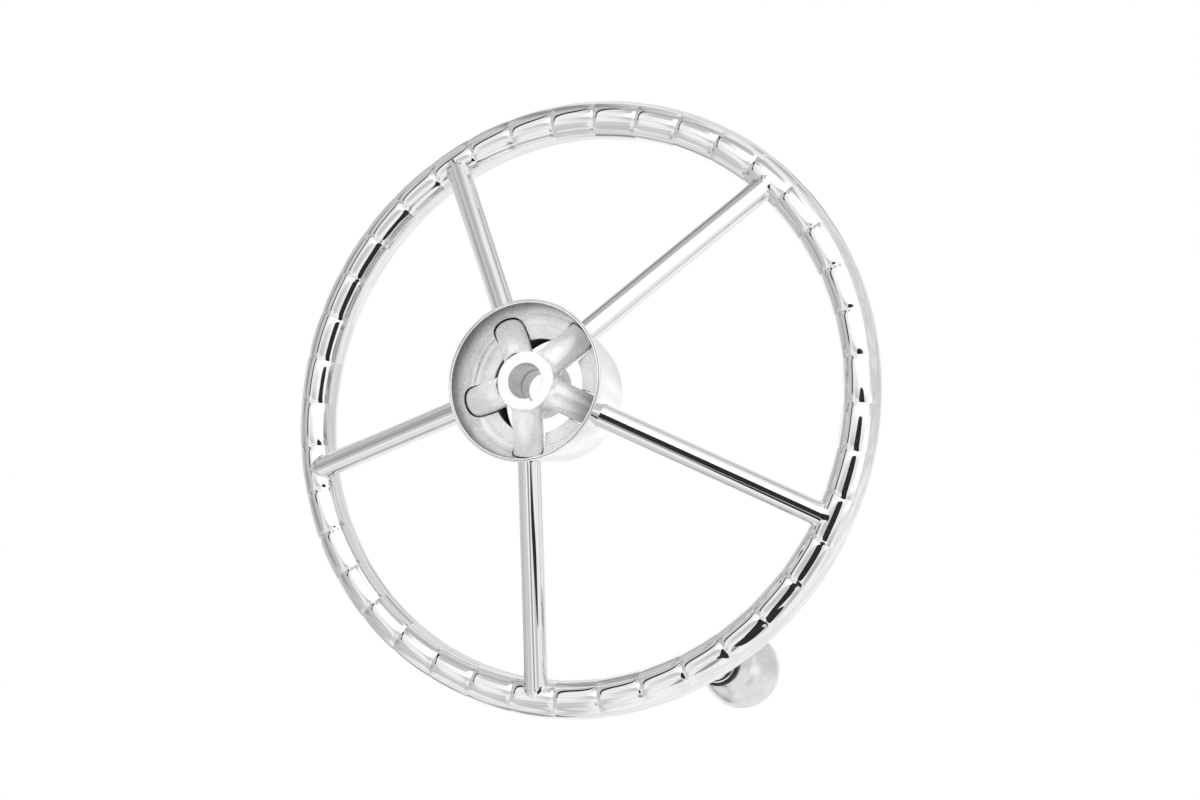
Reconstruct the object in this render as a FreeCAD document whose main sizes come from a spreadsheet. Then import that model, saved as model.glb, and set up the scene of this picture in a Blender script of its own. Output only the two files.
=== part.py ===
"""Stainless boat steering wheel, 343 mm across, five dished spokes, finger grips and a turning knob.

The wheel's own frame: the origin is the centre of the boss's rear face, where the helm shaft
enters. The wheel's axis is Y, and +Y points forward to the person who steers. +Z is up, and
one spoke points straight down. Sizes are in millimetres, and each driving size is a cell of
the spreadsheet, to which the features are bound.
"""

import FreeCAD, Part
import math
import os

import Sketcher

# Driving sizes: word, value, meaning
SIZES = (
    ("rim_diameter", 343.0, "rim, over the outside of its tube"),
    ("rim_tube", 21.3, "rim tube, outside diameter"),
    ("rim_wall", 2.0, "wall of the rim tube"),
    ("rim_reach", 76.0, "rim's mid plane, ahead of the boss's rear face"),
    ("grip_count", 40, "finger grips round the rim"),
    ("grip_depth", 0.95, "depth of the groove between two grips, at the rear of the tube"),
    ("grip_notch", 2.4, "radius of the groove's own section"),
    ("grip_offset", 1.9, "how far the groove's ring sits ahead of the tube's centre"),
    ("spoke_tube", 13.0, "spoke, outside diameter"),
    ("spoke_wall", 1.5, "wall of a spoke tube"),
    ("spoke_root", 2.5, "where the spoke's line meets the wheel's axis"),
    ("spoke_behind", 3.4, "how far behind the rim's mid plane the spoke's line ends"),
    ("spoke_start", 20.0, "radius at which a spoke tube begins, inside its socket"),
    ("socket_tube", 16.2, "socket, outside diameter"),
    ("socket_reach", 36.0, "radius at which a socket ends"),
    ("fit_gap", 0.1, "clearance between parts that are pushed together"),
    ("seat_gap", 0.1, "clearance of an end that is shaped to a round part"),
    ("boss_diameter", 32.0, "boss, outside diameter"),
    ("boss_length", 26.0, "boss, along the axis"),
    ("boss_chamfer", 0.6, "chamfer of the boss's outer edges"),
    ("taper_mouth", 19.05, "shaft taper, large end"),
    ("taper_ratio", 12.0, "length over which the taper loses one unit of diameter"),
    ("taper_length", 16.0, "length of the tapered bore"),
    ("land_bore", 17.0, "straight bore ahead of the taper"),
    ("key_width", 5.0, "keyway, across"),
    ("key_depth", 2.3, "keyway, below the taper's large end"),
    ("shell_mouth", 87.0, "hub shell, diameter over its open rear edge"),
    ("shell_nose", 71.0, "hub shell, diameter at its front edge"),
    ("shell_length", 51.7, "hub shell, along the axis"),
    ("shell_behind", 1.7, "how far the shell stands behind the boss's rear face"),
    ("shell_wall", 1.0, "sheet of the hub shell"),
    ("nose_opening", 64.2, "opening in the shell's front, for the shaft nut and cap"),
    ("nose_round", 2.4, "outer rounding of the shell's front edge"),
    ("dish_depth", 19.5, "hub dish, from its mouth to the front of its floor"),
    ("dish_wall", 0.8, "sheet of the hub dish"),
    ("dish_opening", 51.6, "hole in the floor of the dish"),
    ("dish_round", 5.8, "inner rounding between the wall and floor of the dish"),
    ("dish_gap", 0.1, "clearance between the dish and the shell"),
    ("slot_gap", 0.35, "room between a socket and its slot in the dish"),
    ("knob_angle", 36.0, "turn from the lowest spoke to the knob and the keyway, in degrees"),
    ("ferrule_diameter", 20.6, "knob's foot on the rim"),
    ("ferrule_reach", 12.6, "front of the foot, ahead of the rim's mid plane"),
    ("spindle_diameter", 10.0, "spindle that the knob turns on"),
    ("running_gap", 0.08, "radial clearance of the spindle in its bush"),
    ("end_gap", 0.3, "clearance between the knob's turning faces"),
    ("washer_thickness", 2.4, "thrust washer under the knob"),
    ("washer_diameter", 24.4, "thrust washer, outside diameter"),
    ("bush_diameter", 14.0, "bush, outside diameter"),
    ("knob_ball", 42.0, "knob, diameter of its ball"),
    ("ball_reach", 50.0, "centre of the ball, ahead of the rim's mid plane"),
    ("knob_neck", 18.0, "neck of the knob, outside diameter"),
    ("neck_sweep", 12.0, "radius of the hollow curve from the neck to the ball"),
    ("knob_wall", 2.5, "wall of the hollow ball"),
    ("head_diameter", 13.6, "head of the spindle"),
    ("head_thickness", 3.0, "head of the spindle, along the axis"),
    ("head_reach", 35.0, "rear of the spindle's head, ahead of the rim's mid plane"),
)

# The five spokes, from the lowest one onwards, as seen from behind the wheel
PLACES = ("bottom", "lower_right", "upper_right", "upper_left", "lower_left")

# Lengths worked out from the driving sizes
RIM_RADIUS = "(Sizes.rim_diameter - Sizes.rim_tube) / 2"
SPOKE_RISE = "(Sizes.rim_reach - Sizes.spoke_behind - Sizes.spoke_root)"
SPOKE_SLOPE = f"atan({SPOKE_RISE} / ({RIM_RADIUS}))"
SPOKE_END = f"sqrt(({SPOKE_RISE}) ^ 2 + ({RIM_RADIUS}) ^ 2)"
NARROWING = "(Sizes.shell_mouth - Sizes.shell_nose) / 2 / Sizes.shell_length"

# Length of a cutter that goes right through the boss
PAST_BOSS = "3 * Sizes.boss_length"

# How close an edge lies to the place that names it
NEAR = 1e-4


def make_sheet(doc):
    """The spreadsheet of driving sizes, one aliased cell for each."""
    sheet = doc.addObject("Spreadsheet::Sheet", "Sizes")
    for row, (word, value, meaning) in enumerate(SIZES, start=1):
        sheet.set(f"A{row}", word)
        sheet.set(f"B{row}", str(value))
        sheet.set(f"C{row}", meaning)
        sheet.setAlias(f"B{row}", word)
    doc.recompute()


def number(doc, expression):
    """The plain value of an expression in the sheet's sizes."""
    value = doc.Sizes.evalExpression(expression)
    return float(getattr(value, "Value", value))


def bind(thing, **expressions):
    """Bind properties to expressions in the sheet's sizes."""
    for name, expression in expressions.items():
        thing.setExpression(name, expression)


def origin_feature(body, role):
    """One of a body's own origin planes or axes."""
    return next(part for part in body.Origin.OriginFeatures if part.Role == role)


def hold_point(sketch, geometry, end, across, along):
    """Fix one point of a sketch at two expressions."""
    for kind, axis, expression in (("DistanceX", -2, across), ("DistanceY", -1, along)):
        if expression == "0":
            sketch.addConstraint(Sketcher.Constraint("PointOnObject", geometry, end, axis))
            continue
        value = number(sketch.Document, expression)
        constraint = Sketcher.Constraint(kind, -1, 1, geometry, end, value)
        index = sketch.addConstraint(constraint)
        sketch.setExpression(f"Constraints[{index}]", expression)


def hold_radius(sketch, geometry, expression):
    """Fix the radius of a circle or an arc at an expression."""
    value = number(sketch.Document, expression)
    index = sketch.addConstraint(Sketcher.Constraint("Radius", geometry, value))
    sketch.setExpression(f"Constraints[{index}]", expression)


def arc_between(start, end, radius, side):
    """The shorter arc from start to end, with its centre to the left (1) or right (-1)."""
    chord = end - start
    middle = (start + end) / 2
    normal = FreeCAD.Vector(-chord.y, chord.x, 0) / chord.Length
    centre = middle + normal * side * math.sqrt(radius**2 - chord.Length**2 / 4)
    first, last = (start, end) if side > 0 else (end, start)
    angles = [math.atan2(p.y - centre.y, p.x - centre.x) for p in (first, last)]
    circle = Part.Circle(centre, FreeCAD.Vector(0, 0, 1), radius)
    return Part.ArcOfCircle(circle, angles[0], angles[1])


def add_circle(sketch, radius, across, along):
    """A circle whose radius and centre are expressions."""
    doc = sketch.Document
    centre = FreeCAD.Vector(number(doc, across), number(doc, along), 0)
    circle = Part.Circle(centre, FreeCAD.Vector(0, 0, 1), number(doc, radius))
    index = sketch.addGeometry(circle)
    hold_radius(sketch, index, radius)
    hold_point(sketch, index, 3, across, along)


def closed_profile(sketch, corners, arcs=None):
    """A closed outline. arcs maps a corner's number to the radius and side of its next edge."""
    doc = sketch.Document
    arcs = arcs or {}
    points = [FreeCAD.Vector(number(doc, x), number(doc, y), 0) for x, y in corners]
    ends = []
    for index, start in enumerate(points):
        end = points[(index + 1) % len(points)]
        if index in arcs:
            radius, side = arcs[index]
            sketch.addGeometry(arc_between(start, end, number(doc, radius), side))
            ends.append((1, 2) if side > 0 else (2, 1))
            hold_radius(sketch, index, radius)
        else:
            sketch.addGeometry(Part.LineSegment(start, end))
            ends.append((1, 2))
    for index, (across, along) in enumerate(corners):
        before = index - 1 if index else len(corners) - 1
        link = Sketcher.Constraint("Coincident", before, ends[before][1], index, ends[index][0])
        sketch.addConstraint(link)
        hold_point(sketch, index, ends[index][0], across, along)


def new_sketch(body, name, role="XY_Plane"):
    """An empty sketch on one of the body's own planes."""
    sketch = body.newObject("Sketcher::SketchObject", name)
    sketch.AttachmentSupport = [(origin_feature(body, role), "")]
    sketch.MapMode = "FlatFace"
    return sketch


def turned_body(doc, name, corners, arcs=None):
    """A body turned about its Y axis from an outline of (radius, height) corners."""
    body = doc.addObject("PartDesign::Body", name)
    sketch = new_sketch(body, f"{name}_outline")
    closed_profile(sketch, corners, arcs)
    turn = body.newObject("PartDesign::Revolution", f"{name}_turned")
    turn.Profile = sketch
    turn.ReferenceAxis = (sketch, ["V_Axis"])
    turn.Angle = 360
    doc.recompute()
    return body


def round_edge(body, place, radius):
    """Round the circular edge of the body at a (radius, height) place."""
    doc = body.Document
    wide, high = (number(doc, expression) for expression in place)
    names = [
        f"Edge{index}"
        for index, edge in enumerate(body.Tip.Shape.Edges, start=1)
        if isinstance(edge.Curve, Part.Circle)
        and abs(edge.Curve.Radius - wide) < NEAR
        and abs(edge.Curve.Center.y - high) < NEAR
    ]
    fillet = body.newObject("PartDesign::Fillet", f"{body.Name}_round_{len(body.Group)}")
    fillet.Base = (fillet.BaseFeature, names)
    fillet.setExpression("Radius", radius)
    body.Tip = fillet
    doc.recompute()


def turned(degrees, place="placement(vector(0; 0; 0); rotation(vector(0; 1; 0); 0))"):
    """A place, carried round the wheel's axis from the lowest spoke towards the lower right."""
    return f"placement(vector(0; 0; 0); rotation(vector(0; 1; 0); -({degrees}))) * {place}"


def rod(doc, name, index, radius, length, reach):
    """A cylinder on the line of spoke number index, from a distance out from the line's root."""
    height = f"Sizes.spoke_root + ({reach}) * sin({SPOKE_SLOPE})"
    below = f"-({reach}) * cos({SPOKE_SLOPE})"
    aim = f"rotation(vector(1; 0; 0); 180 deg + {SPOKE_SLOPE})"
    cylinder = doc.addObject("Part::Cylinder", name)
    step = 360 / len(PLACES)
    bind(
        cylinder,
        Radius=radius,
        Height=length,
        Placement=turned(index * step, f"placement(vector(0; {height}; {below}); {aim})"),
    )
    return cylinder


def boss_core(doc, name):
    """A long cylinder round the boss, to shape the inner ends of the sockets."""
    core = doc.addObject("Part::Cylinder", name)
    bind(
        core,
        Radius="Sizes.boss_diameter / 2 + Sizes.seat_gap",
        Height=PAST_BOSS,
        Placement="placement(vector(0; -Sizes.boss_length; 0); rotation(vector(1; 0; 0); -90))",
    )
    return core


def rim_ring(doc, name):
    """The rim's outer surface as a plain ring, to shape what is welded to it."""
    ring = doc.addObject("Part::Torus", name)
    bind(
        ring,
        Radius1=RIM_RADIUS,
        Radius2="Sizes.rim_tube / 2 + Sizes.seat_gap",
        Placement="placement(vector(0; Sizes.rim_reach; 0); rotation(vector(1; 0; 0); -90))",
    )
    return ring


def cut(doc, name, base, tools):
    """Base less the tools, as one named part."""
    tool = tools[0]
    if len(tools) > 1:
        tool = doc.addObject("Part::MultiFuse", f"{name}_tools")
        tool.Shapes = tools
    result = doc.addObject("Part::Cut", name)
    result.Base = base
    result.Tool = tool
    return result


def make_rim(doc):
    """A hollow ring of tube, pressed with grooves between the finger grips on its rear."""
    body = doc.addObject("PartDesign::Body", "rim")
    section = new_sketch(body, "rim_section")
    add_circle(section, "Sizes.rim_tube / 2", RIM_RADIUS, "Sizes.rim_reach")
    add_circle(section, "Sizes.rim_tube / 2 - Sizes.rim_wall", RIM_RADIUS, "Sizes.rim_reach")
    ring = body.newObject("PartDesign::Revolution", "rim_ring")
    ring.Profile = section
    ring.ReferenceAxis = (section, ["V_Axis"])
    ring.Angle = 360
    doc.recompute()

    # one groove is a ring of its own, wider than the tube and set forward, so it cuts
    # deepest at the rear of the tube and runs out at its sides
    notch_axis = "Sizes.rim_reach + Sizes.grip_offset"
    notch_ring = "(Sizes.rim_tube / 2 - Sizes.grip_depth + Sizes.grip_offset + Sizes.grip_notch)"
    notch = new_sketch(body, "grip_section", "YZ_Plane")
    notch.setExpression("AttachmentOffset.Base.z", RIM_RADIUS)
    add_circle(notch, "Sizes.grip_notch", f"{notch_axis} + {notch_ring}", "0")
    foot = FreeCAD.Vector(number(doc, notch_axis), 0, 0)
    top = foot + FreeCAD.Vector(0, number(doc, "Sizes.grip_notch"), 0)
    line = notch.addGeometry(Part.LineSegment(foot, top), True)
    hold_point(notch, line, 1, notch_axis, "0")
    hold_point(notch, line, 2, notch_axis, "Sizes.grip_notch")
    groove = body.newObject("PartDesign::Groove", "grip_groove")
    groove.Profile = notch
    groove.ReferenceAxis = (notch, ["Axis0"])
    groove.Angle = 360
    doc.recompute()
    pattern = body.newObject("PartDesign::PolarPattern", "grip_grooves")
    pattern.Originals = [groove]
    pattern.Axis = (origin_feature(body, "Y_Axis"), [""])
    pattern.Angle = 360
    bind(pattern, Occurrences="Sizes.grip_count")
    body.Tip = pattern
    # half a step, so that a whole grip lies over the lowest spoke
    bind(body, Placement=turned("180 / Sizes.grip_count"))
    return body


def make_spoke(doc, index):
    """A spoke tube, from inside its socket to the rim, whose tube it is shaped to."""
    name = f"spoke_{PLACES[index]}"
    start = f"Sizes.spoke_start / cos({SPOKE_SLOPE})"
    length = f"{SPOKE_END} - {start}"
    outside = rod(doc, f"{name}_outside", index, "Sizes.spoke_tube / 2", length, start)
    hollow = "Sizes.spoke_tube / 2 - Sizes.spoke_wall"
    inside = rod(doc, f"{name}_inside", index, hollow, length, start)
    return cut(doc, name, outside, [inside, rim_ring(doc, f"{name}_rim")])


def make_socket(doc, index):
    """The short tube on the boss that holds a spoke."""
    name = f"socket_{PLACES[index]}"
    length = f"Sizes.socket_reach / cos({SPOKE_SLOPE})"
    outside = rod(doc, f"{name}_outside", index, "Sizes.socket_tube / 2", length, "0")
    bore = "Sizes.spoke_tube / 2 + Sizes.fit_gap"
    inside = rod(doc, f"{name}_inside", index, bore, length, "0")
    return cut(doc, name, outside, [inside, boss_core(doc, f"{name}_boss")])


def make_boss(doc):
    """The turned boss: tapered for the shaft, then straight, with a keyway all through."""
    outer = "Sizes.boss_diameter / 2"
    mouth = "Sizes.taper_mouth / 2"
    corners = (
        (mouth, "0"),
        (f"{outer} - Sizes.boss_chamfer", "0"),
        (outer, "Sizes.boss_chamfer"),
        (outer, "Sizes.boss_length - Sizes.boss_chamfer"),
        (f"{outer} - Sizes.boss_chamfer", "Sizes.boss_length"),
        ("Sizes.land_bore / 2", "Sizes.boss_length"),
        ("Sizes.land_bore / 2", "Sizes.taper_length"),
        (f"{mouth} - Sizes.taper_length / Sizes.taper_ratio / 2", "Sizes.taper_length"),
    )
    body = turned_body(doc, "hub_boss", corners)
    keyway = new_sketch(body, "keyway_outline", "XZ_Plane")
    half = "Sizes.key_width / 2"
    deep = f"-({mouth} + Sizes.key_depth)"
    corners = ((half, "0"), (half, deep), (f"-{half}", deep), (f"-{half}", "0"))
    closed_profile(keyway, corners)
    pocket = body.newObject("PartDesign::Pocket", "keyway")
    pocket.Profile = keyway
    pocket.SideType = "Symmetric"
    pocket.setExpression("Length", PAST_BOSS)
    body.Tip = pocket
    bind(body, Placement=turned("Sizes.knob_angle"))
    return body


def shell_inside(height):
    """The radius of the shell's inner face at a height on the wheel's axis."""
    drop = f"(({height}) + Sizes.shell_behind) * {NARROWING}"
    return f"Sizes.shell_mouth / 2 - Sizes.shell_wall - {drop}"


def make_shell(doc):
    """The polished outer cone of the hub, turned in at its front, with a hole for each spoke."""
    rear = "-Sizes.shell_behind"
    front = "(Sizes.shell_length - Sizes.shell_behind)"
    lip = f"({front} - Sizes.shell_wall)"
    corners = (
        ("Sizes.shell_mouth / 2", rear),
        ("Sizes.shell_nose / 2", front),
        ("Sizes.nose_opening / 2", front),
        ("Sizes.nose_opening / 2", lip),
        (shell_inside(lip), lip),
        (shell_inside(rear), rear),
    )
    cone = turned_body(doc, "shell_cone", corners)
    round_edge(cone, corners[1], "Sizes.nose_round")
    round_edge(cone, corners[4], "Sizes.nose_round - Sizes.shell_wall")
    start = f"Sizes.spoke_start / cos({SPOKE_SLOPE})"
    radius = "Sizes.spoke_tube / 2 + Sizes.fit_gap"
    length = "Sizes.shell_mouth / 2"
    holes = [
        rod(doc, f"shell_hole_{place}", index, radius, length, start)
        for index, place in enumerate(PLACES)
    ]
    return cut(doc, "hub_shell", cone, holes)


def make_dish(doc):
    """The spun dish inside the shell's mouth, slotted over the five sockets."""
    rear = "-Sizes.shell_behind"
    front = "(Sizes.dish_depth - Sizes.shell_behind)"
    floor = f"({front} - Sizes.dish_wall)"
    inner = "Sizes.dish_gap - Sizes.dish_wall"
    corners = (
        (f"{shell_inside(rear)} - Sizes.dish_gap", rear),
        (f"{shell_inside(front)} - Sizes.dish_gap", front),
        ("Sizes.dish_opening / 2", front),
        ("Sizes.dish_opening / 2", floor),
        (f"{shell_inside(floor)} - {inner}", floor),
        (f"{shell_inside(rear)} - {inner}", rear),
    )
    bowl = turned_body(doc, "dish_bowl", corners)
    round_edge(bowl, corners[1], "Sizes.dish_round + Sizes.dish_wall")
    round_edge(bowl, corners[4], "Sizes.dish_round")
    start = f"Sizes.spoke_start / cos({SPOKE_SLOPE})"
    radius = "Sizes.socket_tube / 2 + Sizes.slot_gap"
    length = "Sizes.shell_mouth / 2"
    slots = [
        rod(doc, f"dish_slot_{place}", index, radius, length, start)
        for index, place in enumerate(PLACES)
    ]
    return cut(doc, "hub_dish", bowl, slots)


# The knob's own heights are measured from the rim's mid plane, forward
WASHER_TOP = "(Sizes.ferrule_reach + Sizes.washer_thickness)"
KNOB_BASE = f"({WASHER_TOP} + Sizes.end_gap)"
KNOB_PLACE = f"placement(vector(0; Sizes.rim_reach; -{RIM_RADIUS}); rotation(vector(0; 1; 0); 0))"


def knob_part(doc, name, corners, arcs=None):
    """A turned part of the knob, on its axis over the middle of the rim's tube."""
    body = turned_body(doc, name, corners, arcs)
    bind(body, Placement=turned("Sizes.knob_angle", KNOB_PLACE))
    return body


def ring_corners(inner, outer, low, high):
    """The outline of a plain ring, from its radii and heights."""
    return ((inner, low), (outer, low), (outer, high), (inner, high))


def make_ferrule(doc):
    """The knob's foot: a bored collar, saddled on the front of the rim."""
    bore = "Sizes.spindle_diameter / 2 + Sizes.fit_gap"
    corners = ring_corners(bore, "Sizes.ferrule_diameter / 2", "0", "Sizes.ferrule_reach")
    collar = knob_part(doc, "ferrule_collar", corners)
    return cut(doc, "knob_ferrule", collar, [rim_ring(doc, "ferrule_rim")])


def make_washer(doc):
    """The thrust washer that lies on the foot, under the knob."""
    bore = "Sizes.spindle_diameter / 2 + Sizes.fit_gap"
    corners = ring_corners(bore, "Sizes.washer_diameter / 2", "Sizes.ferrule_reach", WASHER_TOP)
    return knob_part(doc, "knob_washer", corners)


def make_spindle(doc):
    """The headed spindle on the rim, which holds the knob and lets it turn."""
    stem = "Sizes.spindle_diameter / 2"
    head = "Sizes.head_diameter / 2"
    top = "Sizes.head_reach + Sizes.head_thickness"
    corners = (
        ("0", "0"),
        (stem, "0"),
        (stem, "Sizes.head_reach"),
        (head, "Sizes.head_reach"),
        (head, top),
        ("0", top),
    )
    pin = knob_part(doc, "spindle_pin", corners)
    return cut(doc, "knob_spindle", pin, [rim_ring(doc, "spindle_rim")])


def make_bush(doc):
    """The plastic bush in the neck of the knob, which runs on the spindle."""
    bore = "Sizes.spindle_diameter / 2 + Sizes.running_gap"
    top = "Sizes.head_reach - Sizes.end_gap"
    corners = ring_corners(bore, "Sizes.bush_diameter / 2", KNOB_BASE, top)
    return knob_part(doc, "knob_bush", corners)


def make_knob(doc):
    """The hollow knob: a ball that runs down in a hollow curve to its neck."""
    ball = "(Sizes.knob_ball / 2)"
    cavity = f"({ball} - Sizes.knob_wall)"
    neck = "(Sizes.knob_neck / 2)"
    bore = "(Sizes.bush_diameter / 2 + Sizes.fit_gap)"
    across = f"({neck} + Sizes.neck_sweep)"
    along = f"sqrt(({ball} + Sizes.neck_sweep) ^ 2 - {across} ^ 2)"
    share = f"({ball} / ({ball} + Sizes.neck_sweep))"
    corners = (
        (bore, KNOB_BASE),
        (neck, KNOB_BASE),
        (neck, f"Sizes.ball_reach - {along}"),
        (f"{across} * {share}", f"Sizes.ball_reach - {along} * {share}"),
        ("0", f"Sizes.ball_reach + {ball}"),
        ("0", f"Sizes.ball_reach + {cavity}"),
        (bore, f"Sizes.ball_reach - sqrt({cavity} ^ 2 - {bore} ^ 2)"),
    )
    # neck curve, ball and cavity: the side that each arc's centre lies on
    arcs = {2: ("Sizes.neck_sweep", -1), 3: (ball, 1), 5: (cavity, -1)}
    return knob_part(doc, "knob_body", corners, arcs)


def check_document(doc, parts):
    """Stop if any feature failed, or if a part isn't one valid solid."""
    for thing in doc.Objects:
        if "Invalid" in thing.State or "Error" in thing.State:
            raise RuntimeError(f"{thing.Label} failed: {thing.State}")
    for part in parts:
        shape = part.Shape
        if shape.isNull() or not shape.isValid() or len(shape.Solids) != 1:
            raise RuntimeError(f"{part.Label} isn't one valid solid")


def main():
    """Build every part, check it and write it."""
    doc = FreeCAD.newDocument("steering_wheel")
    make_sheet(doc)
    parts = [make_rim(doc), make_boss(doc), make_shell(doc), make_dish(doc)]
    for index in range(len(PLACES)):
        parts += [make_spoke(doc, index), make_socket(doc, index)]
    parts += [make_ferrule(doc), make_washer(doc), make_spindle(doc)]
    parts += [make_bush(doc), make_knob(doc)]
    doc.recompute()
    check_document(doc, parts)
    os.makedirs("parts", exist_ok=True)
    for part in parts:
        part.Shape.exportStep(f"parts/{part.Label}.step")


main()
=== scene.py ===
"""The looks of the stainless boat steering wheel: polished surfaces, welds and studio light.

All sizes are in metres, in the wheel's own frame: the origin is at the mouth of the shaft
bore, +Y points forward along the wheel's axis, and one spoke points down along -Z.
"""

import math

import bmesh
import bpy
import numpy as np
from mathutils import Matrix, Vector


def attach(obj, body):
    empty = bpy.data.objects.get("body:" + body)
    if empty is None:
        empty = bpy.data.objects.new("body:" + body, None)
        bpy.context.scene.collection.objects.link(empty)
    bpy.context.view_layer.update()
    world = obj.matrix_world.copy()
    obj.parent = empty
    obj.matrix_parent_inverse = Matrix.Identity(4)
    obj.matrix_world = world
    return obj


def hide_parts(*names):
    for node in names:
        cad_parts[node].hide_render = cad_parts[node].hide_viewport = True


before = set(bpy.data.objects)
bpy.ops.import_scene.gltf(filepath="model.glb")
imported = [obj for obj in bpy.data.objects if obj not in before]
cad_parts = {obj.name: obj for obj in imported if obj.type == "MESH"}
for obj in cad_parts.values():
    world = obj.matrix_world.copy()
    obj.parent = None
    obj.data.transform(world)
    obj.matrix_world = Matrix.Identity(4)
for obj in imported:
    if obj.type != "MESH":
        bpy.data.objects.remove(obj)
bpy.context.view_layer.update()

MM = 0.001
WHEEL = "wheel"
KNOB = "knob"
RIGHTWARD = np.array((1.0, 0.0, 0.0))
FORWARD = np.array((0.0, 1.0, 0.0))
UPWARD = np.array((0.0, 0.0, 1.0))

# The rim and its finger grips, pressed in at the grooves and crowned between them
RIM_RADIUS = 160.85 * MM
RIM_TUBE = 10.65 * MM
RIM_Y = 76 * MM
GRIPS = 40
GROOVE_DEPTH = 0.28 * MM
GROOVE_WIDTH = 1.5 * MM
GROOVE_REACH = math.radians(36)
GRIP_CROWN = 0.42 * MM
CROWN_FALL = 3  # how steeply a grip falls off towards its grooves
CROWN_FADE = 1.2  # how soon it fades round the tube

# The rim's mesh, which is finest at the grooves and round the rear of the tube
RINGS_FROM_GROOVE = (0, 0.3, 0.6, 0.9, 1.2, 1.5, 1.9, 2.4, 3.0, 3.8, 4.9, 6.4, 8.4, 10.4)
REAR_REACH = math.radians(81)
REAR_STEPS = 54
FRONT_STEPS = 26

# The spokes, on lines that rise forward from the wheel's axis to the rim
PLACES = ("bottom", "lower_right", "upper_right", "upper_left", "lower_left")
SPOKE_RADIUS = 6.5 * MM
SPOKE_WALL = 1.5 * MM
SPOKE_ROOT = 2.5 * MM  # where the lines leave the axis
SPOKE_BEHIND = 3.4 * MM  # how far they end behind the rim's mid plane
SPOKE_START = 20 * MM
SPOKE_SEEN_BORE = 8 * MM  # how deep the bore is made
SPOKE_FLARE = 0.8 * MM
SPOKE_FLARE_LENGTH = 2.6 * MM
SPOKE_SINK = 0.4 * MM  # how far the flare goes into the rim
SPOKE_STEPS = 64
SPOKE_SHARES = np.linspace(0.1, 1, 14)
FLARE_SHARES = (1.0, 0.8, 0.62, 0.46, 0.32, 0.2, 0.1, 0.0)
FLARE_POWER = 2.2
FLARE_ROOM = 1.3 * SPOKE_FLARE_LENGTH
SLOPE = math.atan2(RIM_Y - SPOKE_BEHIND - SPOKE_ROOT, RIM_RADIUS)

# The sockets, with an uneven weld bead where they meet the boss
SOCKET_RADIUS = 8.1 * MM
SOCKET_BORE = 6.6 * MM
SOCKET_END = 36 * MM
SOCKET_EDGE = 0.45 * MM
SOCKET_BORE_EDGE = 0.3 * MM
SOCKET_SEEN_BORE = 12 * MM
SOCKET_STEPS = 96
SOCKET_SHARES = np.linspace(0.15, 1, 8)
SOCKET_EDGE_TURNS = np.linspace(0.3, math.pi / 2, 5)
SOCKET_BORE_TURNS = np.linspace(0, math.pi / 2, 5)
BEAD = 1.3 * MM
BEAD_LENGTH = 2.4 * MM
BEAD_SINK = 0.1 * MM
BEAD_SHARES = np.linspace(0, 1, 9)
BEAD_LUMPS = ((13, 0.22), (5, 0.16))  # waves round the bead, and their share of its height

# The boss, with its tapered bore and keyway
BOSS_RADIUS = 16 * MM
BOSS_LENGTH = 26 * MM
BOSS_EDGE = 0.7 * MM
BORE_EDGE = 0.25 * MM
TAPER_MOUTH = 9.525 * MM
TAPER_END = 8.858 * MM
TAPER_LENGTH = 16 * MM
LAND_RADIUS = 8.5 * MM
KEY_HALF = 2.5 * MM
KEY_DEPTH = 2.3 * MM
KEY_SPARE = 5 * MM

# The shell, a cone of sheet round the hub, unpolished inside, with its inner colour painted nearly
# black as shade
SHELL_MOUTH = 43.5 * MM
SHELL_NOSE = 35.5 * MM
SHELL_REAR = -1.7 * MM
SHELL_FRONT = 50 * MM
SHELL_WALL = 1.0 * MM
SHELL_EDGE = 0.45 * MM
NOSE_OPENING = 32.1 * MM
NOSE_BEND = 2.4 * MM
# Heights between which the inside of the shell takes the nearly black painted shade
DULL_START = SHELL_REAR + 1 * MM
DULL_END = SHELL_FRONT - SHELL_WALL + 0.1 * MM
UNDER_LIP = -0.3  # the forward part of the normal, below which a face looks to the rear

# The dish, spun from sheet, with a shallow step in its floor and a slot for each socket
DISH_FRONT = 17.8 * MM
DISH_WALL = 0.8 * MM
DISH_OPENING = 25.8 * MM
DISH_BEND = 5.8 * MM
DISH_GAP = 0.1 * MM
DISH_EDGE = 0.35 * MM
FLOOR_LINE = 32.6 * MM
FLOOR_STEP = 0.35 * MM
FLOOR_EDGE = 0.06 * MM
SLOT_RADIUS = 8.95 * MM
SLOT_TOLERANCE = 0.02 * MM
SLOT_SQUARENESS = 0.9  # how squarely a cut edge faces the spoke's line

# The knob, with heights measured forward from the rim's mid plane
KNOB_ANGLE = math.radians(36)
KNOB_BASE = 15.3 * MM
KNOB_NECK = 9 * MM
KNOB_EDGE = 0.6 * MM
KNOB_BORE = 7.1 * MM
KNOB_WALL = 2.5 * MM
KNOB_STEPS = 160
NECK_SWEEP = 12 * MM
BALL_RADIUS = 21 * MM
BALL_HEIGHT = 50 * MM

# The knob's foot, a polished collar over a short stem
FERRULE_RADIUS = 10.3 * MM
FERRULE_TOP = 12.6 * MM
FERRULE_STEPS = 96
COLLAR_RADIUS = 10.7 * MM
COLLAR_SIDE = 1.1 * MM
COLLAR_EDGE = 0.4 * MM
COLLAR_TURNS = np.linspace(0, math.pi, 9)
FOOT_FLARE = 0.3 * MM
FOOT_SHARES = (0, 0.3, 0.55, 0.8, 1)
SPINDLE_BORE = 5.1 * MM
SPINDLE_SEEN_BORE = 3 * MM

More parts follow.
